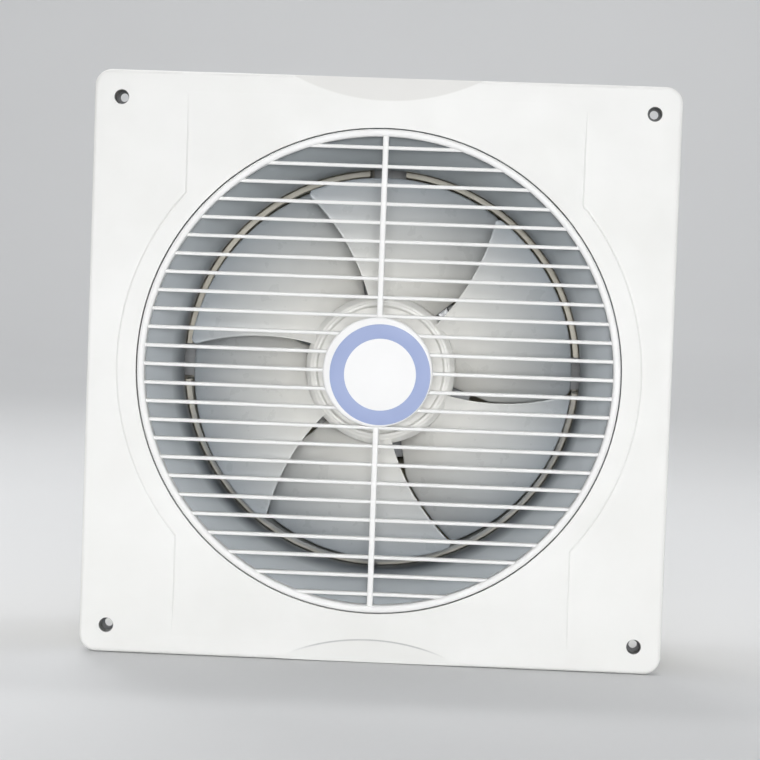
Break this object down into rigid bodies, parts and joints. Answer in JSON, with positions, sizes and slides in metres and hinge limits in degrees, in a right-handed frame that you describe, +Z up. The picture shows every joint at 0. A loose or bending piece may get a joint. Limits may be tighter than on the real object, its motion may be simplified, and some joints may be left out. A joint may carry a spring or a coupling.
{
  "type": "exhaust fan",
  "caption": "Square through-wall exhaust fan with a round bar grille, a bell-mouth inlet, an axial impeller and a louvred outlet shutter.",
  "frame": {"origin": "on the fan axis in the wall plane, at the centre of the four wall screw holes", "axes": "-Y towards the room along the fan axis, +Y through the wall, +X right and +Z up as seen from the room"},
  "size_m": [0.3, 0.1305, 0.3],
  "materials": {
    "panel_white": "satin",
    "funnel_grey": "satin",
    "grille_white": "gloss",
    "badge_white": "gloss",
    "badge_blue": "gloss",
    "casing_ivory": "matte",
    "bracket_paint": "satin",
    "zinc_steel": "satin",
    "shell_steel": "satin",
    "core_steel": "matte",
    "winding_copper": "gloss",
    "bush_bronze": "matte",
    "washer_fibre": "matte",
    "impeller_grey": "satin",
    "nut_white": "satin",
    "strip_ivory": "matte",
    "capacitor_grey": "satin",
    "rubber_black": "matte",
    "clip_nylon": "matte"
  },
  "bodies": {
    "housing": {"front_panel": "panel_white", "inlet_funnel": "funnel_grey", "rear_casing": "casing_ivory", "ring_frame": "casing_ivory", "casing_screws": "zinc_steel", "motor_bracket": "bracket_paint", "bracket_screws": "zinc_steel", "motor_front_shell": "shell_steel", "motor_rear_shell": "shell_steel", "motor_bolts": "zinc_steel", "motor_nuts": "zinc_steel", "stator_core": "core_steel", "stator_windings": "winding_copper", "front_bush": "bush_bronze", "rear_bush": "bush_bronze", "terminal_strip": "strip_ivory", "strip_screws": "bush_bronze", "run_capacitor": "capacitor_grey", "capacitor_clip": "zinc_steel", "clip_screw": "zinc_steel", "terminal_cover": "casing_ivory", "cover_screw": "zinc_steel", "cable_grommet": "rubber_black", "motor_lead": "rubber_black", "lead_grommet": "rubber_black", "lead_clips": "clip_nylon"},
    "rotor": {"impeller": "impeller_grey", "spinner_nut": "nut_white", "motor_shaft": "zinc_steel", "rotor_core": "core_steel", "thrust_washers": "washer_fibre", "drive_pin": "zinc_steel"},
    "grille_unit": {"grille": "grille_white", "badge_plate": "badge_white", "badge_ring": "badge_blue"},
    "louvre_1": {"louvre_1": "casing_ivory"},
    "louvre_2": {"louvre_2": "casing_ivory"},
    "louvre_3": {"louvre_3": "casing_ivory"},
    "louvre_4": {"louvre_4": "casing_ivory"},
    "link_bar": {"link_bar": "casing_ivory"}
  },
  "joints": [
    {"name": "rotor_spin", "type": "hinge", "parent": "housing", "child": "rotor", "pos_m": [0, 0, 0], "axis": [0, -1, 0], "continuous": true},
    {"name": "grille_pull", "type": "slide", "parent": "housing", "child": "grille_unit", "axis": [0, -1, 0], "range_m": [0, 0.04]},
    {"name": "louvre_1_swing", "type": "hinge", "parent": "housing", "child": "louvre_1", "pos_m": [0, 0.109, 0.11156], "axis": [1, 0, 0], "range_deg": [0, 75]},
    {"name": "louvre_2_swing", "type": "hinge", "parent": "housing", "child": "louvre_2", "pos_m": [0, 0.109, 0.05578], "axis": [1, 0, 0], "range_deg": [0, 75]},
    {"name": "louvre_3_swing", "type": "hinge", "parent": "housing", "child": "louvre_3", "pos_m": [0, 0.109, 0], "axis": [1, 0, 0], "range_deg": [0, 75]},
    {"name": "louvre_4_swing", "type": "hinge", "parent": "housing", "child": "louvre_4", "pos_m": [0, 0.109, -0.05578], "axis": [1, 0, 0], "range_deg": [0, 75]},
    {"name": "link_bar_swing", "type": "hinge", "parent": "louvre_1", "child": "link_bar", "pos_m": [0, 0.09678, 0.116], "axis": [1, 0, 0], "range_deg": [-75, 0]}
  ],
  "couplings": [
    {"joint": "louvre_2_swing", "follows": "louvre_1_swing", "ratio": 1},
    {"joint": "louvre_3_swing", "follows": "louvre_1_swing", "ratio": 1},
    {"joint": "louvre_4_swing", "follows": "louvre_1_swing", "ratio": 1},
    {"joint": "link_bar_swing", "follows": "louvre_1_swing", "ratio": -1}
  ]
}
